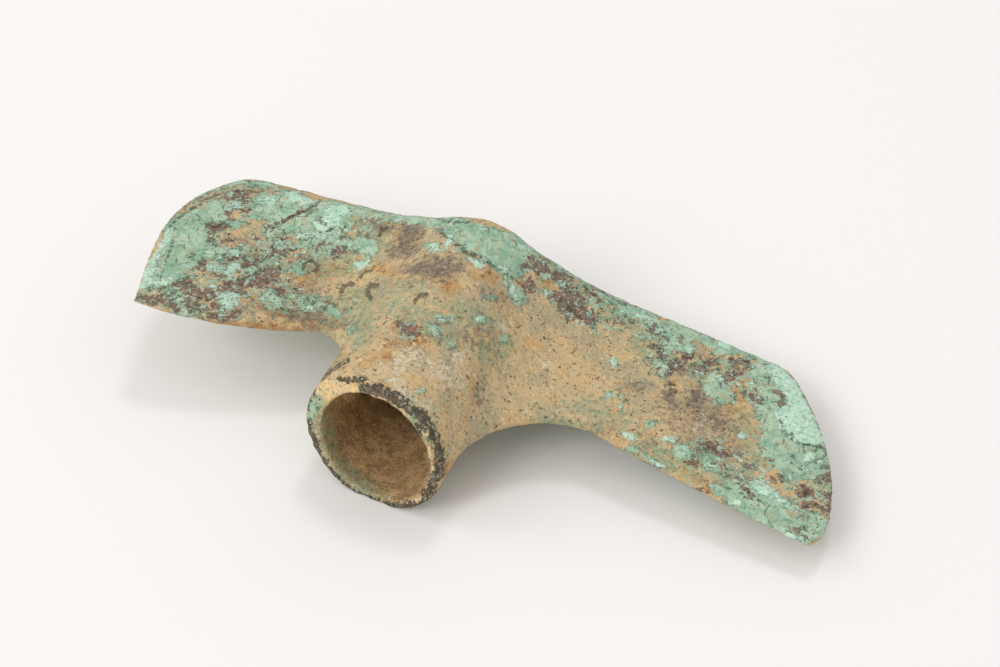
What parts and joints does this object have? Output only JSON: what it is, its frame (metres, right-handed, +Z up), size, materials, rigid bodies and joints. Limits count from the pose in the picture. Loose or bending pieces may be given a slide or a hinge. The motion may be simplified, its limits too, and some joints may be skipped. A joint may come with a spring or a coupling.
{
  "type": "double-bladed socketed axe head",
  "caption": "Cast bronze axe head with broad blades either side of a short blind haft socket, under a green and earth-brown patina.",
  "frame": {"origin": "on the surface the head lies on, under the middle of its outline", "axes": "+X across the head towards the longer blade, +Y along the haft socket away from its mouth, +Z up from the surface it lies on"},
  "size_m": [0.1716, 0.0722, 0.0339],
  "materials": {
    "patinated_bronze": "corroded bronze: matt earth-brown crust with green patina"
  },
  "bodies": {
    "root": {"axe_head": "patinated_bronze"}
  },
  "joints": []
}
